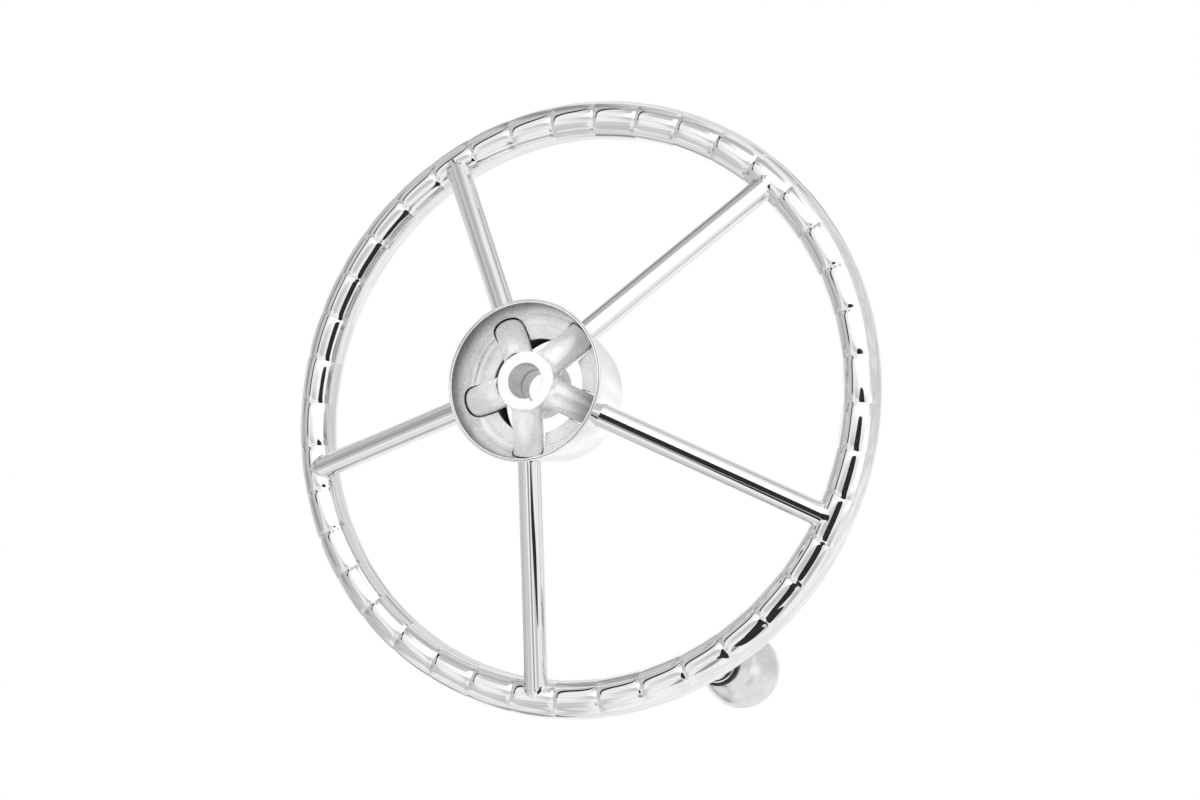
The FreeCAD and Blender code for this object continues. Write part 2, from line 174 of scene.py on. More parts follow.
# Steps and limits of the meshes, with the sharp edges' angles in degrees
HUB_STEPS = 256
CUTTER_STEPS = 96
SHARP_EDGE = 32
SHARP_EDGE_OF_RIM = 70
HALVINGS = 40
WELD_REACH = 1e-7
CUTTER_END = 70 * MM
RIM_SEARCH_START = 100 * MM
BOSS_SEARCH_END = 40 * MM
# The material slot that holds the nearly black painted shade
DULL_SLOT = 1

# The faint tint of polished steel, and the other colours with their alpha
STEEL_TINT = (1, 0.992, 0.978)
SATIN_DARK = (0.84, 0.835, 0.825, 1)
SATIN_PALE = (1, 0.995, 0.99, 1)
# Nearly black colours of the painted shade inside the hub shell and on the dish's slot edges
SCALE_DARK = (0.018, 0.017, 0.016, 1)
SCALE_PALE = (0.06, 0.058, 0.055, 1)
BORE_GREY = (0.6, 0.595, 0.59, 1)
TURNED_PALE = (0.97, 0.965, 0.96, 1)
ACETAL = (0.03, 0.03, 0.032, 1)
FLAG_BLACK = (0.02, 0.02, 0.02, 1)
FLOOR_PALE = (0.9, 0.9, 0.9, 1)

# Where the painted shade on the satin pieces starts and ends, and their least share of light
SIDE_SHADE = (16 * MM, 37 * MM, 0.4)
WALL_SHADE = (25 * MM, 42.5 * MM, 0.2)
# Where the painted shade of the dish's wall gives way to the lip's full tone
BRIGHT_LIP = (42.9 * MM, 43.4 * MM)  # radius less height, as in WALL_SHADE
BORE_BLEND = 0.3 * MM

# The flags, which are black cards, and the floor and lamp of the studio
CAMERA_FLAG = {"centre": (0.411, -0.825, -0.16), "half_width": 0.26, "half_height": 0.37}
TABLE_FLAG = {"centre": (0.173, -0.086, -0.209), "half_width": 0.085, "half_height": 0.034}
FLAG_SIDES = 64
FLOOR_REACH = 1.4
FLOOR_LEVEL = -0.3
FLOOR_SIDES = 96
LAMP_PLACE = (0.3, -0.4, 1.6)
LAMP_SIZE = 1.5
LAMP_POWER = 12

# The photograph's camera, fitted with the size of the wheel
CAMERA_PLACE = (0.6631, -1.4296, -0.2116)
CAMERA_RIGHT = (0.9161, 0.3768, 0.1376)
CAMERA_UP = (-0.0761, -0.1735, 0.9819)
CAMERA_BACK = (0.3941, -0.9099, -0.1303)
CAMERA_LENS = 90.945
CAMERA_SENSOR = 36
CAMERA_CLIP = 0.05

# The room that the metal mirrors: one row for each soft patch of light or dark, with the
# azimuth and elevation of its middle, its half width and half height, the softness of its
# edge, all in degrees, and its brightness. Azimuth 0 is forward (+Y) and 90 is to the
# right (+X). A later patch covers an earlier one.
AMBIENT = 1.06
PATCHES = (
    # pale wall in front, above the horizon, with a darker top and a dim corner
    (38, 38, 75, 42, 10, 0.86),
    (32, 68, 22, 6, 4, 0.5),
    (8, 40, 9, 6, 4, 0.55),
    # grey room on the left, with a pale floor and darker corners
    (-103, 5, 42, 82, 6, 0.7),
    (-98, -52, 30, 17, 6, 0.98),
    (-112, -10, 12, 9, 6, 0.42),
    (-108, 17, 7, 14, 5, 0.33),
    (-100, 57, 31, 8, 5, 0.36),
    (-156, 57, 13, 8, 6, 0.5),
    (-66, -37, 8, 12, 5, 0.4),
    (-46, -55, 15, 8, 5, 0.36),
    (-62, 44, 10, 8, 5, 0.45),
    (-150, -38, 14, 14, 6, 0.76),
    # soft boxes: left of the front, over the camera, on the right and in front
    (-48, -6, 17, 25, 8, 1.2),
    (-68, 0, 10, 9, 4, 1.25),
    (160, 34, 41, 24, 5, 1.4),
    (116, 2, 14, 12, 5, 1.3),
    (5, 2, 8, 12, 4, 1.2),
    # dimmer edges round the soft box over the camera
    (-170, -2, 12, 9, 4, 0.8),
    (-175, 60, 26, 13, 5, 0.62),
    (-160, 42, 8, 9, 4, 0.72),
    (-123, 50, 12, 10, 5, 0.64),
    # dark shapes on the camera's side: two low ones and a thin black upright
    (130, -28, 12, 12, 7, 0.62),
    (168, -38, 8, 8, 3, 0.4),
    (-141, 28, 3.4, 26, 1, 0.02),
)


def shade(obj, sharp=SHARP_EDGE):
    """Shade a mesh smooth, with sharp edges over an angle in degrees."""
    obj.data.shade_smooth()
    obj.data.set_sharp_from_angle(angle=math.radians(sharp))


def new_mesh(name, points, faces, sharp=SHARP_EDGE):
    """A smooth-shaded object from points and faces."""
    mesh = bpy.data.meshes.new(name)
    mesh.from_pydata([tuple(point) for point in points], [], faces)
    mesh.validate()
    obj = bpy.data.objects.new(name, mesh)
    bpy.context.scene.collection.objects.link(obj)
    shade(obj, sharp)
    return obj


def ring_object(name, rings, joined=False, sharp=SHARP_EDGE):
    """An object through closed rings of points; where joined, the last meets the first."""
    rings = np.array(rings)
    count, size = rings.shape[:2]
    faces = []
    for ring in range(count if joined else count - 1):
        after = (ring + 1) % count
        for point in range(size):
            beside = (point + 1) % size
            quad = (ring, point), (ring, beside), (after, beside), (after, point)
            faces.append([row * size + column for row, column in quad])
    return new_mesh(name, rings.reshape(-1, 3), faces, sharp)


def weld(obj):
    """Join points that lie on one another, as on a turning axis, and face all one way."""
    mesh = bmesh.new()
    mesh.from_mesh(obj.data)
    bmesh.ops.remove_doubles(mesh, verts=mesh.verts, dist=WELD_REACH)
    bmesh.ops.recalc_face_normals(mesh, faces=mesh.faces)
    mesh.to_mesh(obj.data)
    mesh.free()
    shade(obj)


def carve(obj, cutters):
    """Cut the cutters out of an object for good, and remove them."""
    for cutter in cutters:
        step = obj.modifiers.new(cutter.name, "BOOLEAN")
        step.operation = "DIFFERENCE"
        step.solver = "EXACT"
        step.object = cutter
    graph = bpy.context.evaluated_depsgraph_get()
    carved = bpy.data.meshes.new_from_object(obj.evaluated_get(graph))
    obj.modifiers.clear()
    obj.data = carved
    for cutter in cutters:
        bpy.data.objects.remove(cutter)
    shade(obj)


def rounded(corners, steps=6):
    """A closed outline from (x, y, radius) corners, each turned by an arc of its radius."""
    points = []
    count = len(corners)
    for index, (x, y, radius) in enumerate(corners):
        here = np.array((x, y))
        if not radius:
            points.append(here)
            continue
        before = np.array(corners[index - 1][:2]) - here
        after = np.array(corners[(index + 1) % count][:2]) - here
        before, after = before / np.linalg.norm(before), after / np.linalg.norm(after)
        half = math.acos(np.clip(before @ after, -1, 1)) / 2
        reach = radius / math.tan(half)
        middle = (before + after) / np.linalg.norm(before + after) * radius / math.sin(half)
        first, last = before * reach - middle, after * reach - middle
        for step in range(steps + 1):
            share = step / steps
            arm = first * (1 - share) + last * share
            points.append(here + middle + arm / np.linalg.norm(arm) * radius)
    return points


def arc(centre, radius, first, last, steps):
    """Points of an arc between two angles in degrees, ends included."""
    turns = np.radians(np.linspace(first, last, steps))
    across, up = centre
    return [(across + radius * math.cos(turn), up + radius * math.sin(turn)) for turn in turns]


def turned(name, outline, steps=192, centre=(0.0, 0.0, 0.0)):
    """A turned object from a closed outline of (radius, height) points about a line along Y."""
    radii, heights = np.array(outline).T
    around = np.linspace(0, 2 * math.pi, steps, endpoint=False)[:, None]
    rings = np.empty((steps, len(outline), 3))
    rings[:, :, 0] = np.sin(around) * radii + centre[0]
    rings[:, :, 1] = heights + centre[1]
    rings[:, :, 2] = -np.cos(around) * radii + centre[2]
    obj = ring_object(name, rings, joined=True)
    weld(obj)
    return obj


def circle_about(across, upward, radius, steps):
    """Points of a ring about a line, from its two cross directions."""
    turn = np.linspace(0, 2 * math.pi, steps, endpoint=False)[:, None]
    return radius * (np.cos(turn) * across + np.sin(turn) * upward)


def spoke_frame(index):
    """The root, direction and two cross directions of spoke number index."""
    angle = 2 * math.pi * index / len(PLACES)
    out = np.array((math.sin(angle), 0, -math.cos(angle)))
    along = out * math.cos(SLOPE) + FORWARD * math.sin(SLOPE)
    across = np.cross(FORWARD, out)
    upward = np.cross(along, across)
    return FORWARD * SPOKE_ROOT, along, across, upward


def spoke_cutters(name, radius):
    """Cylinders on the lines of all the spokes, to cut holes or slots."""
    start = SPOKE_START / math.cos(SLOPE)
    cutters = []
    for index in range(len(PLACES)):
        root, along, across, upward = spoke_frame(index)
        ring = circle_about(across, upward, radius, CUTTER_STEPS)
        ends = ((0, start), (1, start), (1, CUTTER_END), (0, CUTTER_END))
        rings = [root + ring * width + along * reach for width, reach in ends]
        cutter = ring_object(f"{name}_{index}", rings)
        weld(cutter)
        cutters.append(cutter)
    return cutters


def rim_distance(points):
    """How far points lie from the surface of the rim's plain tube."""
    from_axis = np.hypot(points[:, 0], points[:, 2]) - RIM_RADIUS
    return np.hypot(from_axis, points[:, 1] - RIM_Y) - RIM_TUBE


def boss_distance(points):
    """How far points lie from the side of the boss."""
    return np.hypot(points[:, 0], points[:, 2]) - BOSS_RADIUS


def reach_to(surface, origins, direction, low, high):
    """The distances along a direction, in a column, at which points get to a surface."""
    low = np.full(len(origins), low)
    high = np.full(len(origins), high)
    rising = surface(origins + direction * high[:, None]) > 0
    for _ in range(HALVINGS):
        middle = (low + high) / 2
        outside = surface(origins + direction * middle[:, None]) > 0
        beyond = outside == rising
        high = np.where(beyond, middle, high)
        low = np.where(beyond, low, middle)
    return ((low + high) / 2)[:, None]


def pressed_depth(offset, around, half):
    """How deep the tube is pressed in, at a distance from a groove and angles from the rear."""
    turn = np.abs((around + math.pi) % (2 * math.pi) - math.pi)
    groove = np.exp(-((turn / GROOVE_REACH) ** 2)) * math.exp(-((offset / GROOVE_WIDTH) ** 2))
    facing_rear = 0.5 + 0.5 * np.cos(turn)
    crown = (1 - abs(offset) / half) ** CROWN_FALL * facing_rear**CROWN_FADE
    return GROOVE_DEPTH * groove + GRIP_CROWN * crown


def make_rim():
    """The rim: a smooth ring of tube, pressed at its rear into pillow-shaped finger grips."""
    pitch = 2 * math.pi / GRIPS
    half = RIM_RADIUS * pitch / 2
    offsets = [-half]
    offsets += [-distance * MM for distance in RINGS_FROM_GROOVE[:0:-1]]
    offsets += [distance * MM for distance in RINGS_FROM_GROOVE]
    rear = np.linspace(-REAR_REACH, REAR_REACH, REAR_STEPS, endpoint=False)
    front = np.linspace(REAR_REACH, 2 * math.pi - REAR_REACH, FRONT_STEPS, endpoint=False)
    around = np.append(rear, front)
    rings = []
    for grip in range(GRIPS):
        for offset in offsets:
            angle = (grip + 0.5) * pitch + offset / RIM_RADIUS
            radius = RIM_TUBE - pressed_depth(offset, around, half)
            out = RIM_RADIUS + radius * np.sin(around)
            height = RIM_Y - radius * np.cos(around)
            ring = out * math.sin(angle), height, -out * math.cos(angle)
            rings.append(np.stack(ring, axis=1))
    return ring_object("rim_grips", rings, joined=True, sharp=SHARP_EDGE_OF_RIM)


def make_spoke(index):
    """A spoke tube with its weld flared against the rim."""
    root, along, across, upward = spoke_frame(index)
    start = SPOKE_START / math.cos(SLOPE)
    farthest = RIM_RADIUS / math.cos(SLOPE)
    inner = root + circle_about(across, upward, SPOKE_RADIUS - SPOKE_WALL, SPOKE_STEPS)
    outer = root + circle_about(across, upward, SPOKE_RADIUS, SPOKE_STEPS)
    rings = [inner + along * (start + SPOKE_SEEN_BORE), inner + along * start]
    rings.append(outer + along * start)
    rim = reach_to(rim_distance, outer, along, RIM_SEARCH_START, farthest)
    plain_length = rim - FLARE_ROOM - start
    for share in SPOKE_SHARES:
        rings.append(outer + along * (start + plain_length * share))
    for share in FLARE_SHARES:
        radius = SPOKE_RADIUS + SPOKE_FLARE * (1 - share) ** FLARE_POWER
        ring = root + circle_about(across, upward, radius, SPOKE_STEPS)
        end = reach_to(rim_distance, ring, along, RIM_SEARCH_START, farthest)
        back = SPOKE_FLARE_LENGTH * share - SPOKE_SINK * (1 - share)
        rings.append(ring + along * (end - back))
    return ring_object(f"spoke_tube_{PLACES[index]}", rings)


def make_socket(index):
    """A socket with a rounded open end and its weld bead against the boss."""
    root, along, across, upward = spoke_frame(index)
    end = SOCKET_END / math.cos(SLOPE)
    around = np.linspace(0, 2 * math.pi, SOCKET_STEPS, endpoint=False)[:, None] + index
    uneven = 1 + sum(height * np.sin(count * around) for count, height in BEAD_LUMPS)
    rings = []

    def add_ring(radius, reach):
        """Add a ring of a radius, a distance along the socket."""
        rings.append(root + circle_about(across, upward, radius, SOCKET_STEPS) + along * reach)

    def boss_side(radius):
        """The distances at which a ring of a radius meets the boss."""
        ring = root + circle_about(across, upward, radius, SOCKET_STEPS)
        return reach_to(boss_distance, ring, along, 0.0, BOSS_SEARCH_END)

    for share in BEAD_SHARES:
        radius = SOCKET_RADIUS + BEAD * uneven * (1 - share) ** 2
        add_ring(radius, boss_side(radius) + BEAD_LENGTH * share - BEAD_SINK)
    base = boss_side(SOCKET_RADIUS) + BEAD_LENGTH
    for share in SOCKET_SHARES:
        add_ring(SOCKET_RADIUS, base + (end - SOCKET_EDGE - base) * share)
    for turn in SOCKET_EDGE_TURNS:
        radius = SOCKET_RADIUS - SOCKET_EDGE * (1 - math.cos(turn))
        add_ring(radius, end - SOCKET_EDGE * (1 - math.sin(turn)))
    for turn in SOCKET_BORE_TURNS:
        radius = SOCKET_BORE + SOCKET_BORE_EDGE * (1 - math.sin(turn))
        add_ring(radius, end - SOCKET_BORE_EDGE * (1 - math.cos(turn)))
    add_ring(SOCKET_BORE, end - SOCKET_SEEN_BORE)
    return ring_object(f"socket_tube_{PLACES[index]}", rings)


def cone_radius(height, inset=0.0):
    """The radius of the hub shell's outer face at a height, less an inset."""
    share = (height - SHELL_REAR) / (SHELL_FRONT - SHELL_REAR)
    return SHELL_MOUTH + (SHELL_NOSE - SHELL_MOUTH) * share - inset


def make_shell():
    """The polished cone of the hub, rolled in at the front, with a hole for each spoke."""
    lip = SHELL_FRONT - SHELL_WALL
    outline = rounded([
        (SHELL_MOUTH, SHELL_REAR, SHELL_EDGE),
        (SHELL_NOSE, SHELL_FRONT, NOSE_BEND),
        (NOSE_OPENING, SHELL_FRONT, SHELL_EDGE),
        (NOSE_OPENING, lip, SHELL_EDGE),
        (cone_radius(lip, SHELL_WALL), lip, NOSE_BEND - SHELL_WALL),
        (cone_radius(SHELL_REAR, SHELL_WALL), SHELL_REAR, SHELL_EDGE),
    ])
    shell = turned("hub_shell_cone", outline, steps=HUB_STEPS)
    carve(shell, spoke_cutters("shell_hole", SOCKET_BORE))
    # Faces inside the shell and under its lip take the nearly black painted shade
    for face in shell.data.polygons:
        centre, normal = face.center, face.normal
        radius = math.hypot(centre.x, centre.z)
        inward = centre.x * normal.x + centre.z * normal.z < 0
        under_lip = normal.y < UNDER_LIP and radius > NOSE_OPENING
        inside = radius < cone_radius(centre.y, SHELL_WALL / 2)
        if (inward or under_lip) and inside and DULL_START < centre.y < DULL_END:
            face.material_index = DULL_SLOT
    return shell


def make_dish():
    """The spun dish in the hub's rear, slotted over the sockets, with a rolled lip."""
    floor = DISH_FRONT - DISH_WALL
    outside = SHELL_WALL + DISH_GAP
    inside = outside + DISH_WALL
    outline = rounded([
        (cone_radius(SHELL_REAR, outside), SHELL_REAR, DISH_EDGE),
        (cone_radius(DISH_FRONT, outside), DISH_FRONT, DISH_BEND + DISH_WALL),
        (DISH_OPENING, DISH_FRONT, DISH_EDGE),
        (DISH_OPENING, floor - FLOOR_STEP, DISH_EDGE),
        (FLOOR_LINE, floor - FLOOR_STEP, FLOOR_EDGE),
        (FLOOR_LINE + FLOOR_STEP / 2, floor, FLOOR_EDGE),
        (cone_radius(floor, inside), floor, DISH_BEND),
        (cone_radius(SHELL_REAR, inside), SHELL_REAR, DISH_EDGE),
    ], steps=10)
    dish = turned("hub_dish_bowl", outline, steps=HUB_STEPS)
    carve(dish, spoke_cutters("dish_slot", SLOT_RADIUS))
    # The cut edges of the slots take the nearly black painted shade
    darken_slots(dish)
    return dish


def darken_slots(dish):
    """Give the cut edges of the dish's slots the second slot of its materials, painted nearly
    black as shade.
    """
    lines = [spoke_frame(index)[:2] for index in range(len(PLACES))]
    for face in dish.data.polygons:
        for root, along in lines:
            arm = np.array(face.center) - root
            arm -= along * (arm @ along)
            reach = np.linalg.norm(arm)
            on_cut = abs(reach - SLOT_RADIUS) < SLOT_TOLERANCE
            if on_cut and abs(np.array(face.normal) @ arm) > SLOT_SQUARENESS * reach:
                face.material_index = DULL_SLOT


def make_boss():
    """The turned boss, with its tapered bore and keyway."""
    outline = rounded([
        (TAPER_MOUTH, 0.0, BORE_EDGE),
        (BOSS_RADIUS, 0.0, BOSS_EDGE),
        (BOSS_RADIUS, BOSS_LENGTH, BOSS_EDGE),
        (LAND_RADIUS, BOSS_LENGTH, BORE_EDGE),
        (LAND_RADIUS, TAPER_LENGTH, 0),
        (TAPER_END, TAPER_LENGTH, 0),
    ])
    boss = turned("hub_boss_turned", outline)
    out = np.array((math.sin(KNOB_ANGLE), 0, -math.cos(KNOB_ANGLE)))
    side = np.cross(FORWARD, out)
    points = []
    for reach in (0, TAPER_MOUTH + KEY_DEPTH):
        for half in (-KEY_HALF, KEY_HALF):
            for height in (-KEY_SPARE, BOSS_LENGTH + KEY_SPARE):
                points.append(out * reach + side * half + FORWARD * height)
    faces = [(0, 1, 3, 2), (4, 6, 7, 5), (0, 4, 5, 1), (2, 3, 7, 6), (0, 2, 6, 4), (1, 5, 7, 3)]
    key = new_mesh("keyway", points, faces)
    weld(key)
    carve(boss, [key])
    return boss


def knob_centre(height=0.0):
    """A point of the knob's axis, at a height forward of the rim's mid plane."""
    across, upward = RIM_RADIUS * math.sin(KNOB_ANGLE), -RIM_RADIUS * math.cos(KNOB_ANGLE)
    return np.array((across, RIM_Y + height, upward))


def make_knob():
    """The hollow ball knob, in one curve from its neck to its top."""
    across = KNOB_NECK + NECK_SWEEP
    along = math.sqrt((BALL_RADIUS + NECK_SWEEP) ** 2 - across**2)
    tilt = math.degrees(math.atan2(along, across))
    ball, sweep = (0, BALL_HEIGHT), (across, BALL_HEIGHT - along)
    cavity = BALL_RADIUS - KNOB_WALL
    cavity_start = -math.degrees(math.acos(KNOB_BORE / cavity))
    edge = KNOB_NECK - KNOB_EDGE, KNOB_BASE + KNOB_EDGE
    outline = [(KNOB_BORE, KNOB_BASE), (edge[0], KNOB_BASE)]
    outline += arc(edge, KNOB_EDGE, -60, 0, 5)
    outline += arc(sweep, NECK_SWEEP, 180, 180 - tilt, 16)
    outline += arc(ball, BALL_RADIUS, -tilt, 90, 56)[1:]
    outline += arc(ball, cavity, 90, cavity_start, 24)
    return turned("knob_ball", outline, steps=KNOB_STEPS, centre=knob_centre())


def make_ferrule():
    """The knob's foot: a polished collar over a short stem, flared where it meets the rim."""
    top = knob_centre(FERRULE_TOP)
    rings = []

    def add_ring(radius, below):
        """Add a ring of a radius, a distance below the top."""
        ring = circle_about(RIGHTWARD, UPWARD, radius, FERRULE_STEPS)
        rings.append(top + ring - FORWARD * below)

    add_ring(SPINDLE_BORE, SPINDLE_SEEN_BORE)
    add_ring(SPINDLE_BORE, 0)
    for turn in COLLAR_TURNS:
        radius = COLLAR_RADIUS - COLLAR_EDGE * (1 - math.sin(turn))
        side = COLLAR_SIDE if turn > math.pi / 2 else 0
        add_ring(radius, side + COLLAR_EDGE * (1 - math.cos(turn)))
    stem_top = COLLAR_SIDE + 2 * COLLAR_EDGE
    for share in FOOT_SHARES:
        radius = FERRULE_RADIUS + FOOT_FLARE * share**2
        ring = top + circle_about(RIGHTWARD, UPWARD, radius, FERRULE_STEPS)
        rim = reach_to(rim_distance, ring, -FORWARD, 0.0, FERRULE_TOP)
        add_ring(radius, stem_top + (rim - stem_top) * share)
    return ring_object("knob_foot", rings)


class Nodes:
    """A short way to build the nodes of a material or of the world."""

    def __init__(self, tree):
        self.tree = tree
        self.tree.nodes.clear()

    def feed(self, value, target):
        """Give an input a plain value, or the output of another node."""
        if isinstance(value, bpy.types.NodeSocket):
            self.tree.links.new(value, target)
        else:
            target.default_value = value

    def add(self, kind, inputs=None, **settings):
        """A node with its own settings and what its named inputs are fed with."""
        node = self.tree.nodes.new(kind)
        for name, value in settings.items():
            setattr(node, name, value)
        for name, value in (inputs or {}).items():
            self.feed(value, node.inputs[name])
        return node

    def math(self, operation, *values):
        """The result of a math node on outputs or plain numbers."""
        node = self.add("ShaderNodeMath", operation=operation)
        for value, target in zip(values, node.inputs):
            self.feed(value, target)
        return node.outputs[0]

    def ramp(self, value, low, high, out_low, out_high):
        """A value mapped smoothly from one range to another, and kept inside it."""
        inputs = {"Value": value, "From Min": low, "From Max": high}
        inputs.update({"To Min": out_low, "To Max": out_high})
        node = self.add("ShaderNodeMapRange", inputs, interpolation_type="SMOOTHSTEP")
        return node.outputs[0]

    def spread(self, noise, out_low, out_high, low=0.3, high=0.7):
        """Noise mapped to a range, from the limits between which most of it lies."""
        return self.ramp(noise, low, high, out_low, out_high)

    def mix(self, factor, first, second, data_type="RGBA"):
        """A mix of two colours, or of two numbers with FLOAT as the data type."""
        inputs = {"Factor": factor, "A": first, "B": second}
        return self.add("ShaderNodeMix", inputs, data_type=data_type).outputs["Result"]

    def split(self, vector):
        """The three coordinates of a vector."""
        return self.add("ShaderNodeSeparateXYZ", {"Vector": vector}).outputs

    def noise(self, vector, scale, detail, roughness=0.55, stretch=None):
        """Noise over a vector, which may be stretched along each axis."""
        if stretch:
            vector = self.add("ShaderNodeMapping", {"Vector": vector, "Scale": stretch}).outputs[0]
        inputs = {"Vector": vector, "Scale": scale, "Detail": detail, "Roughness": roughness}
        return self.add("ShaderNodeTexNoise", inputs).outputs[0]


class Finish(Nodes):
    """A material in the making, with its shader and its object's coordinates."""

    def __init__(self, name):
        self.material = bpy.data.materials.new(name)
        self.material.use_nodes = True
        super().__init__(self.material.node_tree)
        self.shader = self.add("ShaderNodeBsdfPrincipled")
        self.add("ShaderNodeOutputMaterial", {"Surface": self.shader.outputs[0]})
        self.place = self.add("ShaderNodeTexCoord").outputs["Object"]

    def set(self, name, value):
        """Give one of the shader's inputs a plain value, or the output of a node."""
        self.feed(value, self.shader.inputs[name])

    def bump(self, height, strength, distance):
        """Roughen the surface by a height."""
        inputs = {"Height": height, "Strength": strength, "Distance": distance}
        self.set("Normal", self.add("ShaderNodeBump", inputs).outputs[0])

    def about_axis(self):
        """How far a point is from the wheel's axis, and how far forward along it."""
        right, forward, up = self.split(self.place)
        squares = self.math("MULTIPLY_ADD", right, right, self.math("MULTIPLY", up, up))
        return self.math("SQRT", squares), forward


def polished_steel(name, smoothest, roughest, level=0.79):
    """Polished stainless steel, with faint haze, buffing marks and slow waves."""
    steel = Finish(name)
    steel.set("Base Color", [level * share for share in STEEL_TINT] + [1])
    steel.set("Metallic", 1)
    haze = steel.noise(steel.place, scale=55, detail=4)
    marks = steel.noise(steel.place, scale=900, detail=2, stretch=(1, 0.25, 1))
    waves = steel.noise(steel.place, scale=16, detail=1)
    steel.set("Roughness", steel.spread(haze, smoothest, roughest, low=0.35, high=0.75))
    relief = steel.math("MULTIPLY_ADD", marks, 0.0015, waves)
    steel.bump(relief, strength=0.5, distance=0.9 * MM)
    return steel.material


def satin_steel(name, metallic, shade_of):
    """Tumbled, pickled stainless steel, mottled, with painted shade in its colour where shade_of
    says.
    """
    steel = Finish(name)
    steel.set("Metallic", metallic)
    mottle = steel.noise(steel.place, scale=260, detail=5, roughness=0.65)
    patch = steel.noise(steel.place, scale=60, detail=3)
    both = steel.math("MULTIPLY_ADD", patch, 0.5, steel.math("MULTIPLY", mottle, 0.5))
    colour = steel.mix(steel.spread(both, 0, 1, low=0.35, high=0.65), SATIN_DARK, SATIN_PALE)
    darker = steel.add("ShaderNodeVectorMath", operation="SCALE")
    steel.feed(colour, darker.inputs[0])
    steel.feed(shade_of(steel), darker.inputs["Scale"])
    steel.set("Base Color", darker.outputs[0])
    steel.set("Roughness", steel.spread(mottle, 0.2, 0.34))
    steel.bump(mottle, strength=0.12, distance=0.4 * MM)
    return steel.material


def side_shade(steel):
    """The painted shade of the sockets, whose colour darkens towards the right of the hub."""
    start, end, darkest = SIDE_SHADE
    return steel.ramp(steel.split(steel.place)[0], start, end, 1, darkest)


def wall_shade(steel):
    """The painted shade of the dish, whose wall's colour darkens towards the rear, up to a bright
    lip.
    """
    start, end, darkest = WALL_SHADE
    outward = steel.math("SUBTRACT", *steel.about_axis())
    wall = steel.ramp(outward, start, end, 1, darkest)
    return steel.math("MAXIMUM", wall, steel.ramp(outward, *BRIGHT_LIP, 0, 1))


def dull_steel():
    """Unpolished steel for the inside of the hub shell and of the dish's slots, its colour painted
    nearly black as shade.
    """
    steel = Finish("dull_steel")
    steel.set("Metallic", 0.6)
    # A mottle of the nearly black painted shade
    scale = steel.noise(steel.place, scale=180, detail=4)
    steel.set("Base Color", steel.mix(scale, SCALE_DARK, SCALE_PALE))
    steel.set("Roughness", steel.spread(scale, 0.4, 0.6))
    steel.bump(scale, strength=0.2, distance=0.3 * MM)
    return steel.material


def turned_steel():
    """Fine-turned stainless steel with rings about the wheel's axis, greyer inside the bore."""
    steel = Finish("turned_steel")
    steel.set("Metallic", 0.4)
    radius, forward = steel.about_axis()
    outside_bore = steel.ramp(radius, TAPER_MOUTH, TAPER_MOUTH + BORE_BLEND, 0, 1)
    steel.set("Base Color", steel.mix(outside_bore, BORE_GREY, TURNED_PALE))
    profile = steel.add("ShaderNodeCombineXYZ", {"X": radius, "Y": forward}).outputs[0]
    rings = steel.noise(profile, scale=4200, detail=2)
    steel.set("Roughness", steel.spread(rings, 0.2, 0.34))
    steel.bump(rings, strength=0.12, distance=0.2 * MM)
    return steel.material


def dark_plastic():
    """Dark acetal with a fine moulded grain."""
    plastic = Finish("dark_acetal")
    grain = plastic.noise(plastic.place, scale=1500, detail=2)
    plastic.set("Base Color", ACETAL)
    plastic.set("Roughness", plastic.spread(grain, 0.4, 0.55))
    plastic.bump(grain, strength=0.1, distance=0.1 * MM)
    return plastic.material


def even_material(name, colour, roughness):
    """A plain material for what stands in the studio."""
    finish = Finish(name)
    finish.set("Base Color", colour)
    finish.set("Roughness", roughness)
    return finish.material


def put(obj, material, body, slot, *nodes):
    """Give a piece its material and body, and hide the nodes that it stands for; slot is not used.
    """
    obj.data.materials.append(material)
    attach(obj, body)
    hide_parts(*nodes)


def dress(node, material):
    """Give a node that stays its material."""
    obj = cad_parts[node]
    obj.data.materials.clear()
    obj.data.materials.append(material)


def room_light(nodes, place):
    """How bright the room is in every direction: the patches, with faint streaks."""
    across, forward, rise = nodes.split(place)
    azimuth = nodes.math("ARCTAN2", across, forward)
    elevation = nodes.math("ARCSINE", rise)
    level = AMBIENT
    for *angles, brightness in PATCHES:
        middle, height, half_width, half_height, soft = map(math.radians, angles)
        turn = nodes.math("WRAP", nodes.math("SUBTRACT", azimuth, middle), math.pi, -math.pi)
        beside = nodes.math("ABSOLUTE", turn)
        above = nodes.math("ABSOLUTE", nodes.math("SUBTRACT", elevation, height))
        inside_width = nodes.ramp(beside, half_width - soft, half_width + soft, 1, 0)
        inside_height = nodes.ramp(above, half_height - soft, half_height + soft, 1, 0)
        inside = nodes.math("MULTIPLY", inside_width, inside_height)
        level = nodes.mix(inside, level, brightness, "FLOAT")
    streaks = nodes.noise(place, scale=2.6, detail=2, roughness=0.5, stretch=(1, 1, 2.2))
    return nodes.math("MULTIPLY", level, nodes.spread(streaks, 0.88, 1.1))


def make_world():
    """White to the camera and to rough surfaces, and to the metal the light of the room."""
    world = bpy.data.worlds.new("studio")
    bpy.context.scene.world = world
    world.use_nodes = True
    nodes = Nodes(world.node_tree)
    room = room_light(nodes, nodes.add("ShaderNodeTexCoord").outputs["Generated"])
    rays = nodes.add("ShaderNodeLightPath").outputs
    seen = nodes.math("MAXIMUM", rays["Is Camera Ray"], rays["Is Transmission Ray"])
    white = nodes.math("MAXIMUM", seen, nodes.math("SUBTRACT", 1, rays["Is Glossy Ray"]))
    inputs = {"Color": (1, 1, 1, 1), "Strength": nodes.mix(white, room, 1, "FLOAT")}
    background = nodes.add("ShaderNodeBackground", inputs)
    nodes.add("ShaderNodeOutputWorld", {"Surface": background.outputs[0]})


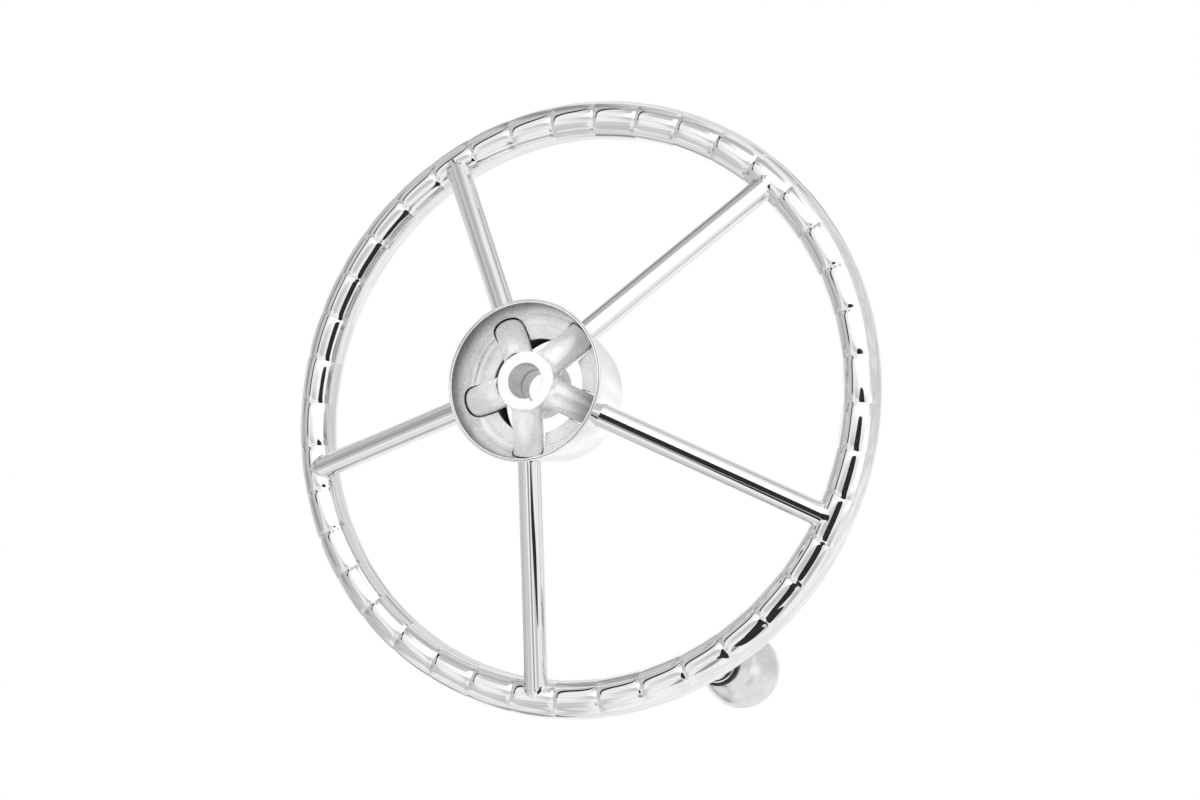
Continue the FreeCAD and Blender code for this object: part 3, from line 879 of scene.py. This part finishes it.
def make_flag(name, centre, half_width, half_height):
    """A black card with round corners, turned to the wheel, which only its metal shows."""
    centre = Vector(centre)
    side = Vector(UPWARD).cross(centre).normalized()
    rise = centre.cross(side).normalized()
    corners = []
    for step in range(FLAG_SIDES):
        turn = 2 * math.pi * step / FLAG_SIDES
        across, upward = math.cos(turn), math.sin(turn)
        wide = math.copysign(math.sqrt(abs(across)), across) * half_width
        high = math.copysign(math.sqrt(abs(upward)), upward) * half_height
        corners.append(centre + side * wide + rise * high)
    flag = new_mesh(name, corners, [tuple(range(FLAG_SIDES))])
    flag.data.materials.append(even_material(name, FLAG_BLACK, roughness=1))
    for ray in ("camera", "diffuse", "transmission", "shadow"):
        setattr(flag, f"visible_{ray}", False)


def make_floor():
    """A round pale floor below the wheel, which keeps its shadow."""
    corners = []
    for side in range(FLOOR_SIDES):
        turn = 2 * math.pi * side / FLOOR_SIDES
        corners.append((FLOOR_REACH * math.cos(turn), FLOOR_REACH * math.sin(turn), FLOOR_LEVEL))
    floor = new_mesh("floor", corners, [tuple(range(FLOOR_SIDES))])
    floor.data.materials.append(even_material("pale_floor", FLOOR_PALE, roughness=0.8))
    floor.visible_glossy = False


def make_lamp():
    """One large soft lamp above, for the shadow under the wheel."""
    light = bpy.data.lights.new("soft_lamp", "AREA")
    light.energy = LAMP_POWER
    light.size = LAMP_SIZE
    lamp = bpy.data.objects.new("soft_lamp", light)
    lamp.location = LAMP_PLACE
    lamp.rotation_euler = (-lamp.location).to_track_quat("-Z", "Y").to_euler()
    lamp.visible_glossy = False
    bpy.context.scene.collection.objects.link(lamp)


def make_camera():
    """The photograph's view, from behind and below the wheel."""
    lens = bpy.data.cameras.new("camera")
    lens.sensor_width = CAMERA_SENSOR
    lens.lens = CAMERA_LENS
    lens.clip_start = CAMERA_CLIP
    camera = bpy.data.objects.new("camera", lens)
    turn = Matrix((CAMERA_RIGHT, CAMERA_UP, CAMERA_BACK)).transposed().to_4x4()
    camera.matrix_world = Matrix.Translation(CAMERA_PLACE) @ turn
    bpy.context.scene.collection.objects.link(camera)
    bpy.context.scene.camera = camera


def main():
    """Make every piece, its finish, the studio and the camera."""
    polished = polished_steel("polished_steel", smoothest=0.02, roughest=0.055)
    buffed = polished_steel("buffed_steel", smoothest=0.25, roughest=0.31, level=0.73)
    # The satin and blasted steel take painted shade into their colour
    satin = satin_steel("satin_steel", metallic=0.4, shade_of=wall_shade)
    blasted = satin_steel("blasted_steel", metallic=0.2, shade_of=side_shade)
    bright, dull, plastic = turned_steel(), dull_steel(), dark_plastic()
    put(make_rim(), polished, WHEEL, "polished_steel", "rim")
    for index, place in enumerate(PLACES):
        put(make_spoke(index), polished, WHEEL, "polished_steel", f"spoke_{place}")
        put(make_socket(index), blasted, WHEEL, "satin_steel", f"socket_{place}")
    shell, dish = make_shell(), make_dish()
    put(shell, polished, WHEEL, "polished_steel", "hub_shell")
    put(dish, satin, WHEEL, "satin_steel", "hub_dish")
    # Both also take the nearly black painted shade as their second material
    for obj in (shell, dish):
        obj.data.materials.append(dull)
    put(make_boss(), bright, WHEEL, "turned_steel", "hub_boss")
    put(make_ferrule(), polished, WHEEL, "polished_steel", "knob_ferrule")
    put(make_knob(), buffed, KNOB, "polished_steel", "knob_body")
    dress("knob_spindle", bright)
    dress("knob_washer", plastic)
    dress("knob_bush", plastic)
    make_world()
    make_flag("camera_flag", **CAMERA_FLAG)
    make_flag("table_flag", **TABLE_FLAG)
    make_floor()
    make_lamp()
    make_camera()
    bpy.context.scene.view_settings.view_transform = "Standard"


main()
